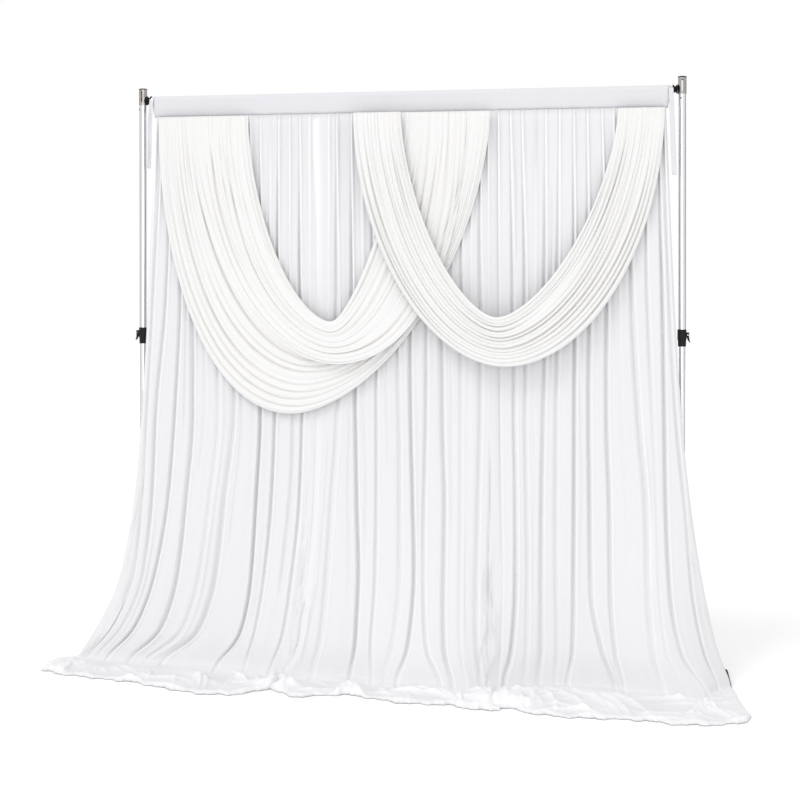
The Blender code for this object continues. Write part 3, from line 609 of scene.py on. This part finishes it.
# %% Puddle
CRESTS = (
    (-1.82, -0.23, 100, 14, 78, 10), (-1.74, -0.31, 90, 12, 74, 10), (-1.72, -0.3, 130, 10, -84, 9),
    (-1.52, -0.47, 90, 12, -15, 7), (-1.37, -0.5, 95, 12, -20, 8), (-1.27, -0.53, 70, 10, -45, 9),
    (-1.16, -0.41, 145, 9, 2, 8), (-0.98, -0.4, 115, 9, -69, 13), (-0.94, -0.42, 115, 12, -72, 8),
    (-1.09, -0.57, 155, 14, -11, 6), (-0.82, -0.43, 155, 10, 85, 9), (-0.78, -0.33, 105, 9, -58, 8),
    (-0.7, -0.57, 90, 12, 27, 7), (-0.64, -0.46, 75, 12, 54, 9), (-0.61, -0.34, 110, 12, -81, 22),
    (-0.61, -0.25, 35, 10, -24, 20), (-0.55, -0.38, 100, 10, -74, 16), (-0.37, -0.51, 105, 14, 9, 6),
    (-0.23, -0.48, 70, 10, 72, 13), (-0.15, -0.51, 115, 9, -59, 12), (-0.19, -0.33, 80, 10, 80, 8),
    (-0.18, -0.61, 20, 14, 9, 13), (0.11, -0.46, 135, 11, -2, 9), (0.21, -0.46, 155, 10, -39, 10),
    (0.27, -0.47, 150, 9, -53, 11), (0.34, -0.5, 150, 9, -69, 10), (0.1, -0.62, 120, 14, -3, 6),
    (0.36, -0.65, 85, 14, -2, 7), (0.47, -0.5, 120, 12, -70, 17), (0.52, -0.52, 120, 11, -73, 18),
    (0.57, -0.47, 110, 12, -78, 20), (0.62, -0.38, 35, 13, 9, 20), (0.65, -0.5, 110, 12, -81, 18),
    (0.7, -0.45, 110, 12, -79, 16), (0.51, -0.58, 50, 10, 49, 13), (0.79, -0.46, 180, 10, -70, 10),
    (0.88, -0.43, 200, 9, -58, 9), (0.97, -0.41, 180, 8, -55, 8), (0.93, -0.63, 115, 12, -35, 7),
    (1.09, -0.47, 180, 9, -62, 9), (1.13, -0.4, 85, 9, -47, 6), (1.19, -0.5, 150, 9, -60, 7),
    (1.05, -0.51, 180, 9, -58, 7), (1.39, -0.32, 70, 16, 86, 14), (1.3, -0.64, 100, 12, 14, 7),
    (1.5, -0.45, 180, 9, 62, 11), (1.54, -0.47, 65, 9, -63, 9), (1.58, -0.6, 120, 9, -55, 10),
    (-0.66, -0.44, 60, 34, -60, 12), (-0.58, -0.46, 70, 38, 84, 18), (-0.5, -0.42, 55, 30, -70, 12),
    (0.47, -0.57, 80, 30, -74, 16), (0.55, -0.54, 90, 30, 86, 20), (0.62, -0.58, 70, 28, -66, 17),
    (0.69, -0.6, 60, 30, -80, 14), (-0.2, -0.52, 70, 34, 40, 10), (1.34, -0.375, 190, 12, -1, 5),
    (1.34, -0.72, 135, 14, 6, 6), (1.63, -0.6, 90, 10, -60, 7), (1.5, -0.57, 140, 8, 62, 6),
)
print(len(CRESTS), "crests placed by hand")

# %% Puddle shape
HIGHEST, CREST_SCALE = 0.055, 2.3
HEM_ROLL, HEM_HIGH, HEM_UNEVEN = 0.016, 0.0125, 0.004  # radius across the hem, and its height
WAVES = ((0.27, 28, 0.009), (0.19, -38, 0.006))  # spacing, turn and height of the low waves between crests


def low_waves(x, y, seed):
    """Two sets of rounded waves with narrow tops that cross the puddle at different angles."""
    total = 0.0
    for apart, turn, high in WAVES:
        turn = math.radians(turn)
        phase = math.pi * (x * math.cos(turn) + y * math.sin(turn)) / apart
        phase = phase + 0.9 * np.sin(y * 11 + seed) + 0.8 * np.sin(x * 5 + y * 7)
        patchy = 0.55 + 0.45 * np.sin(x * 7.3 + 40 * apart + seed)
        total = total + high * patchy * (1 - np.abs(np.sin(phase))) ** 1.3
    return total


def puddle(path, lain, relief, seed, roll, within):
    rng = np.random.default_rng(seed + 40)
    x, y = path[:, :, 0], path[:, :, 1]
    from_hem = lengths(path[::-1])[::-1]
    spots = rng.choice(np.flatnonzero((lain > 0.25) & (lain < 0.95)), 26)
    limits = ((40, 110), (8, 14), (-75, 20), (2.0, 6.0))
    seeded = [(x.flat[k], y.flat[k], *(rng.uniform(*pair) for pair in limits)) for k in spots]
    rise = np.zeros_like(x)
    for at_x, at_y, long, wide, turn, height in (*CRESTS, *seeded):
        near = np.flatnonzero((np.abs(x - at_x).min(axis=0) < 0.5) & (lain[-1] > 0))
        if not len(near):
            continue
        turn = math.radians(turn)
        dx, dy = x[:, near] - at_x, y[:, near] - at_y
        along = dx * math.cos(turn) + dy * math.sin(turn)
        side = dy * math.cos(turn) - dx * math.sin(turn) + 0.8 * along ** 2
        steep = np.where(side > 0, 0.62, 1.20) * wide / 1000
        fades = (along * 1000 / long) ** 2 + np.sqrt((side / steep) ** 2 + 0.10) - 0.32
        rise[:, near] += CREST_SCALE * height / 1000 * np.exp(-fades)
    rise = HIGHEST * np.tanh(rise / HIGHEST)
    swell = roll * (1 + 0.5 * np.sin(x * 8.0 + seed) + 0.4 * np.sin(x * 19.0 + 2 * seed)) * ease(lain / 0.35)
    swell = swell + low_waves(x, y, seed) * ease(lain / 0.30)
    hem = np.clip(1 - (from_hem / HEM_ROLL - 1) ** 2, 0, 1) ** 0.5
    hem = hem * (HEM_HIGH + HEM_UNEVEN * np.sin(x * 27.0))
    lies = within * (rise + swell) * ease(from_hem / 0.04) + hem
    return relief * (1 - ease(lain / 0.30)) + lies * ease(lain / 0.10)


# %% [markdown]
# ## Making a panel
# The path and the relief give every point, which is then kept above the floor by a soft minimum. The middle
# panel's two edges are tucked behind its neighbours', as the sewn edges are. Few rows are needed where the
# cloth hangs and many where it lies, so rows are dropped from the hanging part.

# %% Panel
EDGE_SHARE, FADE_SHARE = 0.22, 0.28  # of the outer folds: how much is tucked, and how much lies low
TUCK_BACK, TUCK_ASIDE = 0.75, 1.8  # shares of the tuck
FLOOR_GAP, FLOOR_SOFT = 0.0022, 0.0025
ROWS, HANGING, THINNED = 140, 0.80, 6.5  # rows kept, share of them that hangs, how many times fewer it has


def rows_to_keep(rows):
    dense = np.where(np.arange(rows) < rows * HANGING, 1 / THINNED, 1.0)
    keep = np.interp(np.linspace(0, 1, ROWS), np.cumsum(dense) / np.sum(dense), np.arange(rows))
    return np.unique(np.concatenate([[0], keep.round().astype(int), [rows - 1]]))


def panel(name, folds, creases, seed, roll, round_by, tuck):
    s = panel_columns(folds)
    path, lain = panel_path(folds, s, round_by)
    other = len(folds) - 1 - s
    edge = ease(1 - s / EDGE_SHARE) - ease(1 - other / EDGE_SHARE)
    within = 0.12 + 0.88 * (ease(s / FADE_SHARE) * ease(other / FADE_SHARE))[None]
    relief, painted_highlight = panel_relief(folds, creases, s, path, lain, seed)
    relief = relief - tuck * TUCK_BACK * np.abs(edge)[None]
    relief = puddle(path, lain, relief, seed, roll, within)
    lying = ease(lain / 0.15)
    # How high the lying cloth stands, for the painted highlight on its crests.
    crested = np.clip(0.22 + (relief - 0.007) / 0.028, 0, 1)
    along = np.gradient(path, axis=0)
    along /= np.linalg.norm(along, axis=2, keepdims=True)
    out = np.cross(along, (1.0, 0.0, 0.0))
    out /= np.linalg.norm(out, axis=2, keepdims=True)
    points = path + out * relief[:, :, None]
    points[:, :, 0] -= tuck * edge[None] * (1 + TUCK_ASIDE * (1 - lying))
    floor = ground(points[:, :, 0], points[:, :, 1]) + FLOOR_GAP
    low = np.maximum(points[:, :, 2], 0) - floor
    points[:, :, 2] = floor + 0.5 * (low + np.sqrt(low ** 2 + FLOOR_SOFT ** 2))
    kept = rows_to_keep(len(points))
    grid = points[kept]
    steps = np.linalg.norm(np.diff(grid[len(grid) // 3], axis=0), axis=1)
    widths = np.concatenate([[0], np.cumsum(steps)])
    uv = np.stack([np.repeat(widths[None], len(grid), 0), lengths(grid)], axis=2)
    # Painted highlight: a lighter colour on the ridges and shoulders where the cloth hangs, and on the cloth
    # lying on the floor, most of all on its crests.
    painted_shading = (painted_highlight * (1 - lying) + lying * crested)[kept]
    piece = cloth(name + "_cloth", grid, uv, panel_cloth, name, painted_shading=painted_shading)


panel("panel_left", LEFT_FOLDS, LEFT_CREASES, 11, 0.005, 0.100, 0.0)
panel("panel_middle", MIDDLE_FOLDS, MIDDLE_CREASES, 12, 0.005, 0.075, 0.016)
panel("panel_right", RIGHT_FOLDS, RIGHT_CREASES, 13, 0.005, 0.045, 0.0)

# %% [markdown]
# ## The swags
# A swag is a wide piece gathered at both ends and hung so that its middle falls in a loop. Each long fold
# runs from the heading down one side, round the bottom and up the other, so one row of the table, a section,
# is one such line. The first swag's cloth parts into an upper and a lower group of folds, and its second and
# third sections mark the step.

# %% Swag tables
# Share across the cloth, its two ends, x and z of its lowest point, fullness of each side, how far forward.
SWAG_LEFT = (
    (0.0, -0.825, -0.006, -0.366, 1.8, 1.7, 1.4, 0.096),
    (0.54, -1.132, 0.325, -0.35, 1.585, 1.8, 2.2, 0.118),
    (0.6, -1.146, 0.337, -0.48, 1.615, 1.85, 1.9, 0.088),
    (1.0, -1.314, 0.451, -0.585, 1.316, 2.05, 1.7, 0.084),
)
SWAG_RIGHT = (
    (0.0, -0.007, 1.099, 0.495, 1.825, 1.6, 1.56, 0.15),
    (0.5, -0.13, 1.21, 0.512, 1.705, 1.72, 1.7, 0.158),
    (1.0, -0.256, 1.33, 0.53, 1.574, 1.85, 1.92, 0.148),
)
# Valleys of each swag, one to a row: its place across the cloth in hundredths at seven stations round the
# loop, from the left end to the right one, its depth, and the reach of its flanks in millimetres.
STATIONS = (0.0, 0.14, 0.30, 0.50, 0.68, 0.86, 1.0)
LEFT_VALLEYS = (
    (2, 3, 4, 3, 4, 5, 4, 6, 8), (9, 14, 16, 14, 12, 15, 12, 9, 9), (15, 19, 22, 20, 19, 19, 18, 5, 7),
    (20, 25, 29, 27, 27, 26, 24, 10, 9), (27, 31, 35, 34, 35, 33, 31, 8, 8),
    (34, 40, 42, 42, 44, 43, 40, 11, 10), (42, 45, 49, 48, 49, 49, 46, 7, 8),
    (50, 51, 53, 53, 53, 53, 51, 7, 8), (57, 58, 60, 62, 60, 58, 57, 14, 10),
    (63, 64, 67, 67, 66, 65, 63, 7, 8), (69, 70, 72, 71, 71, 71, 70, 10, 10),
    (74, 75, 77, 76, 76, 77, 76, 6, 7), (80, 80, 81, 80, 80, 82, 81, 12, 10),
    (85, 85, 86, 85, 86, 87, 86, 8, 8), (90, 91, 91, 90, 89, 92, 91, 10, 9),
    (95, 96, 96, 95, 95, 96, 95, 7, 7),
)
RIGHT_VALLEYS = (
    (5, 5, 7, 6, 7, 5, 5, 6, 8), (10, 14, 15, 14, 15, 9, 8, 7, 9), (16, 22, 23, 20, 20, 17, 14, 10, 9),
    (24, 27, 31, 30, 28, 25, 22, 11, 10), (32, 37, 38, 37, 38, 33, 30, 8, 9),
    (40, 44, 44, 44, 46, 41, 39, 10, 9), (48, 49, 52, 50, 52, 48, 47, 12, 10),
    (55, 58, 58, 57, 58, 55, 54, 8, 8), (63, 65, 66, 65, 65, 63, 61, 12, 10),
    (70, 70, 72, 71, 71, 72, 70, 8, 8), (77, 79, 79, 78, 79, 79, 78, 12, 10),
    (84, 85, 85, 84, 85, 86, 86, 7, 8), (90, 91, 91, 92, 92, 93, 93, 10, 9),
)
SWAG_TOP, SWAG_TOP_FRONT = 2.889, 0.052

# %% [markdown]
# ## Shape of a swag
# The loop is two quarter curves that meet at the lowest point, eased a little so that the cloth turns there
# in a bow and not a corner. Between the valleys the cloth rounds out and its lower lip sags a little over
# the fold below, which gives the crisp dark line under each fold. A painted shade also darkens and warms
# the bottoms of the folds. Close to the heading the cloth is drawn into fine gathers that melt into the
# main folds further down.

# %% Swag path
AROUND, ACROSS = 218, 212  # points of the grid round the loop and across the cloth
TURN_SOFT, TURN_WINDOW = 0.16, 43  # the share of the loop that is rounded, and the points averaged there


def swag_path(sections, u, v, forward):
    table = np.array(sections)
    left, right, low_x, low_z, bend_left, bend_right, front = (
        np.interp(v, table[:, 0], table[:, k])[None] for k in range(1, 8))
    on_left = (u < 0.5)[:, None]
    angle = math.pi / 2 * np.where(u < 0.5, 2 * u, 2 - 2 * u)[:, None]
    cos, sin = np.clip(np.cos(angle), 0, 1), np.clip(np.sin(angle), 0, 1)
    bend = np.where(on_left, bend_left, bend_right)
    out = np.where(on_left, low_x - left, right - low_x) * cos ** (2 / bend)
    x = np.where(on_left, low_x - out, low_x + out)
    z = SWAG_TOP - (SWAG_TOP - low_z) * sin ** (2 / bend)
    start = SWAG_TOP_FRONT + np.where(on_left, forward, 0.0)
    y = -(start + (front - start) * sin ** np.where(on_left & (forward > 0), 1.3, 2.2))
    path = np.stack([x, y, z], axis=2)
    soft = bell(u - 0.5, TURN_SOFT)[:, None, None]
    window = np.hanning(TURN_WINDOW)[1:-1]
    ends = (TURN_WINDOW - 3) // 2
    padded = np.concatenate([path[:ends], path, path[-ends:]])
    eased = sum(w * padded[k:k + len(u)] for k, w in enumerate(window / window.sum()))
    return path * (1 - soft) + eased * soft, sin


# %% Swag relief
RESTS, HEM_TURN, HEM_REACH, SAG = 0.009, 0.007, 0.014, 0.55
FINE = ((0.011, 0.00012), (0.024, 0.00035), (0.07, 0.0011))


def swag_relief(path, u, v, valleys, gathers, seed):
    """How far the folded cloth stands off its path, how far each point is from an end, and its width."""
    wide = np.linalg.norm(path[:, -1] - path[:, 0], axis=1)[:, None]
    hung = lengths(path)
    from_end = np.minimum(hung, hung[-1:] - hung)
    rng = np.random.default_rng(seed)
    relief = np.full(hung.shape, RESTS)
    wander = 0.0035 * np.sin(2 * math.pi * (2.2 * u + rng.uniform()))[:, None]
    local = np.linalg.norm(np.gradient(path, v, axis=1), axis=2) / wide
    loose = np.clip(1.15 * local - 0.15, 0.15, 1)  # squeezed cloth has no room for deep folds
    for *places, depth, flank in valleys:
        at = curve(STATIONS, np.array(places) / 100, u)[:, None] + wander
        rate, phase = rng.uniform(1.2, 2.8), rng.uniform(0, 6.3)
        deep = depth / 1000 * (0.80 + 0.38 * np.sin(2 * math.pi * rate * u + phase))[:, None]
        deep = loose * deep * (0.30 + 0.70 * ease(from_end / 0.60))
        apart = (v[None] - at) * wide
        reach = flank / 1000 * np.where(apart < 0, 1.15, 0.65)
        relief = relief - deep * groove(apart, reach)
        relief = relief + 0.20 * deep * bell(apart - reach - 0.003, 0.006)
    for k in range(gathers):
        place = (k + rng.uniform(0.15, 0.85)) / gathers
        at = place + 0.010 * np.sin(hung * rng.uniform(1, 4) + rng.uniform(0, 6))
        deep = rng.uniform(0.0020, 0.0048)
        reaches_down = bell(from_end, rng.uniform(0.35, 1.25))
        stray = rng.uniform(-0.2, 1.0) * bell(u - rng.uniform(0.15, 0.85), 0.12)[:, None]
        drawn = deep * loose * (reaches_down + np.clip(stray, 0, None))
        relief = relief - drawn * groove((v[None] - at) * wide, 0.0048)
    return relief + ripples(v[None] * 0.5, hung, seed, FINE), from_end, wide, hung


# %% Swag
def swag(name, sections, valleys, forward, seed, gathers):
    v = np.linspace(0, 1, ACROSS)
    u = np.linspace(0, 1, AROUND)
    u = u + 0.035 * np.sin(4 * math.pi * u) / (2 * math.pi)
    path, sin = swag_path(sections, u, v, forward)
    relief, from_end, wide, hung = swag_relief(path, u, v, valleys, gathers, seed)
    # Painted shade: the bottoms of the folds, lying below their neighbours, get a darker and warmer colour.
    low = np.minimum(np.roll(relief, 3, 1), np.roll(relief, -3, 1))
    high = np.maximum(np.roll(relief, 4, 1), np.roll(relief, -4, 1))
    painted_shading = np.clip((0.6 * high + 0.4 * low - relief) / 0.009, 0, 1)
    hem = np.minimum(v, 1 - v)[None] * wide
    relief = relief - HEM_TURN * groove(hem, HEM_REACH)
    relief = relief * (0.50 + 0.50 * ease(from_end / 0.30))
    points = path.copy()
    points[:, :, 1] -= relief
    points[:, :, 2] -= SAG * relief * sin ** 2
    uv = np.stack([v[None] * 1.5 + 0 * hung, hung], axis=2)
    piece = cloth(name + "_cloth", points, uv, swag_cloth, name, SWAG_THICK, painted_shading=painted_shading)


swag("swag_left", SWAG_LEFT, LEFT_VALLEYS, 0.0, 21, 40)
swag("swag_right", SWAG_RIGHT, RIGHT_VALLEYS, 0.030, 22, 36)

# %% [markdown]
# ## The heading
# The rod pocket is one sleeve of knit round the bar. Over the bar it is round and tight. Below the bar its
# two walls fall together to the seam, so a faint dark line shows along the bar's underside, and small drag
# lines run from the gathered swags up into it.

# %% Heading
HEADING_HALF, HEADING_MOUTH = 1.357, 0.010
POCKET_R, SEAM_HALF = BAR_R + 0.0030, 0.005
LEAVES_BAR = 20  # degrees below the bar's axis where each wall leaves the bar


def on_bar(degrees):
    turn = math.radians(degrees)
    return -POCKET_R * math.cos(turn), BAR_Z + POCKET_R * math.sin(turn)


def wall(start, end):
    return [tuple(p + (q - p) * k for p, q in zip(start, end)) for k in (0.2, 0.4, 0.6, 0.8)]


seam_front, seam_back = (SEAM_Y - SEAM_HALF, SEAM_Z), (SEAM_Y + SEAM_HALF, SEAM_Z)
section = [
    seam_front, *wall(seam_front, on_bar(-LEAVES_BAR)),
    *(on_bar(degrees) for degrees in range(-LEAVES_BAR, 181 + LEAVES_BAR, 13)),
    *wall(on_bar(180 + LEAVES_BAR), seam_back), seam_back,
]
share = np.linspace(0, 1, 170)
rings = np.repeat(np.array([section]), len(share), 0)
below = np.clip((BAR_Z - rings[:, :, 1]) / (BAR_Z - SEAM_Z), 0, 1)
where = (2 * share - 1)[:, None] * (HEADING_HALF - HEADING_MOUTH * below ** 2)
belly = 0.0035 * np.sin(math.pi * below) * np.where(rings[:, :, 0] < 0, -1, 0.4)
drag = 0.0011 * below * (np.sin(where * 38 + 1.2 * np.sin(where * 7)) + 0.7 * np.sin(where * 71 + 2))
sag = -0.0016 * below * (np.sin(where * 5.3 + 0.6) + 0.6 * np.sin(where * 13 + 2))
heading_grid = np.stack([where, rings[:, :, 0] + belly + drag, rings[:, :, 1] + sag], axis=2)
girth = lengths(rings.transpose(1, 0, 2)).T
heading = cloth("heading_cloth", heading_grid, np.stack([where, girth], axis=2), heading_cloth, "heading",
                closed=True)

# %% [markdown]
# ## The ties
# Two ribbons of the same knit are sewn to the ends of the heading and hang free beside the posts. A ribbon
# is a narrow sheet whose edges curl forward a little and which turns slightly as it falls.

# %% Ties
# Share of its length, x, y and turn.
LEFT_TIE = (
    (0.0, -1.362, -0.026, 0.1), (0.25, -1.366, -0.034, 0.5), (0.5, -1.371, -0.030, 0.2),
    (0.75, -1.369, -0.037, 0.6), (1.0, -1.374, -0.034, 0.3),
)
RIGHT_TIE = (
    (0.0, 1.362, -0.026, -0.1), (0.25, 1.366, -0.036, -0.3), (0.5, 1.370, -0.042, 0.0),
    (0.75, 1.374, -0.038, -0.2), (1.0, 1.378, -0.044, 0.1),
)


def tie(name, shape, top, long, wide):
    share = np.linspace(0, 1, 60)
    table = np.array(shape)
    x, y, turn = (curve(table[:, 0], table[:, k], share)[:, None] for k in (1, 2, 3))
    side = np.linspace(-0.5, 0.5, 9)[None]
    curl = 0.0022 * (2 * side) ** 2
    grid = np.stack([x + wide * side * np.cos(turn), y - curl + wide * side * np.sin(turn),
                     top - long * share[:, None] + 0 * side], axis=2)
    uv = np.stack([wide * side + 0 * share[:, None], long * share[:, None] + 0 * side], axis=2)
    piece = cloth(name + "_cloth", grid, uv, heading_cloth, name, TIE_THICK)


tie("tie_left", LEFT_TIE, 2.990, 0.370, 0.020)
tie("tie_right", RIGHT_TIE, 2.990, 0.440, 0.024)

# %% [markdown]
# ## Finishes of the stand
# The tubes are satin anodised aluminium with fine upright drawing lines, the crowns and pins dark nickel,
# the clamps black nylon with a fine moulded grain, and the plates black powder coat. Each reads Object
# coordinates, so the grain keeps its real size on every piece.

# %% Metal and plastic
def drawn_tube():
    paint = Paint("drawn aluminium", Metallic=1.0)
    lines = paint.noise("Object", (900, 900, 2.5), 3.0)
    marks = paint.noise("Object", (30, 30, 9), 4.0, 0.6)
    tone = (0.7 * lines + 0.3 * marks).clamp()
    paint.feed("Base Color", paint.blend(tone, (0.56, 0.57, 0.59, 1), (0.84, 0.85, 0.87, 1)))
    paint.feed("Roughness", 0.12 + 0.12 * lines + 0.06 * marks)
    paint.bump(lines, 0.15, 0.0002)
    return paint.material


def plated():
    paint = Paint("dark nickel", Metallic=1.0)
    smears = paint.noise("Object", (120, 120, 45), 3.0, 0.6)
    paint.feed("Base Color", paint.blend(smears, (0.17, 0.15, 0.14, 1), (0.62, 0.59, 0.57, 1)))
    paint.feed("Roughness", 0.08 + 0.16 * smears)
    return paint.material


def moulded(name, shade, grain, rough):
    paint = Paint(name, Specular_IOR_Level=0.22)
    pores = paint.noise("Object", (grain, grain, grain))
    dust = paint.noise("Object", (40, 40, 40), 4.0, 0.65)
    dusty = (2.4 * shade, 2.4 * shade, 2.5 * shade, 1)
    paint.feed("Base Color", paint.blend(dust, (shade, shade, shade, 1), dusty))
    paint.feed("Roughness", rough + 0.18 * dust)
    paint.bump(pores, 0.35, 0.0003)
    return paint.material


finishes = {
    "aluminium_tube": drawn_tube(), "nickel": plated(),
    "black_plastic": moulded("black nylon", 0.0035, 1400, 0.42),
    "black_steel": moulded("black powder coat", 0.0035, 700, 0.55),
}
blued = Paint("blued steel", Metallic=1.0, Roughness=0.35)
blued.feed("Base Color", blued.blend(blued.noise("Object", (90, 90, 90), 3.0),
                                     (0.06, 0.06, 0.07, 1), (0.14, 0.14, 0.15, 1)))
for entry in frame["record"]["subparts"]:
    node = frame["nodes"][entry["node"]]
    finish = finishes.get(entry["material_slot"])
    if entry["node"].startswith("snap_button"):
        finish = blued.material
    if finish:
        for place in node.material_slots:
            place.material = finish
print("finishes:", ", ".join(sorted(finishes)), "and blued steel")

# %% [markdown]
# ## Floor and light
# The floor is a wide pale sheet under an even white sky, so the cloth's shadows come mostly from its own
# folds. A broad soft sun from the upper left gives them their bright left shoulders and a lamp in front
# fills them. Two black flags behind the posts count only in reflections, because polished tubes in an
# all-white room have nothing dark to mirror.

# %% Studio
bpy.ops.mesh.primitive_plane_add(size=60, location=(0, 0, 0))
floor = bpy.context.object
floor.name = "studio_floor"
floor_paint = Paint("studio floor", Roughness=0.9, Specular_IOR_Level=0.1)
mottle = floor_paint.noise("Object", (1.5, 1.5, 1.5), 3.0)
floor_paint.feed("Base Color", floor_paint.blend(mottle, (0.94, 0.94, 0.942, 1), (0.965, 0.965, 0.967, 1)))
floor.data.materials.append(floor_paint.material)
floor.select_set(False)

FLAG_WIDE, FLAG_TALL, FLAG_LIFT = 1.70, 3.4, 0.05
flag_paint = Paint("black flag", Roughness=0.9, Specular_IOR_Level=0.0)
flag_paint.shader.inputs["Base Color"].default_value = (0.01, 0.01, 0.01, 1)
for name, x, y, turn in (("flag_left", -3.75, 1.25, 62), ("flag_right", 3.05, 1.75, -55)):
    bpy.ops.mesh.primitive_cube_add(size=1, location=(STAND.x + x, STAND.y + y, FLAG_TALL / 2 + FLAG_LIFT))
    flag = bpy.context.object
    flag.name, flag.scale = name, (FLAG_WIDE, 0.02, FLAG_TALL)
    flag.rotation_euler.z = math.radians(turn)
    flag.data.materials.append(flag_paint.material)
    flag.visible_camera = flag.visible_diffuse = flag.visible_shadow = flag.visible_transmission = False
    flag.select_set(False)

world = bpy.data.worlds.new("studio sky")
world.use_nodes = True
world.node_tree.nodes["Background"].inputs["Color"].default_value = (1, 1, 1, 1)
world.node_tree.nodes["Background"].inputs["Strength"].default_value = 1.0
bpy.context.scene.world = world


def lamp(name, kind, place, aim, power, size):
    light = bpy.data.lights.new(name, kind)
    light.energy = power
    if kind == "SUN":
        light.angle = math.radians(size)
    else:
        light.shape, light.size = "SQUARE", size
    made = bpy.data.objects.new(name, light)
    bpy.context.scene.collection.objects.link(made)
    made.location = place
    made.rotation_euler = (Vector(aim) - Vector(place)).to_track_quat("-Z", "Y").to_euler()


lamp("key", "SUN", (-4.4, -5.4, 9.8), (0, 0, 1.4), 0.72, 22)
lamp("fill", "AREA", (1.6, -10.5, 2.6), (0, 0, 1.4), 150, 4.0)
bpy.context.scene.view_settings.view_transform = "Standard"
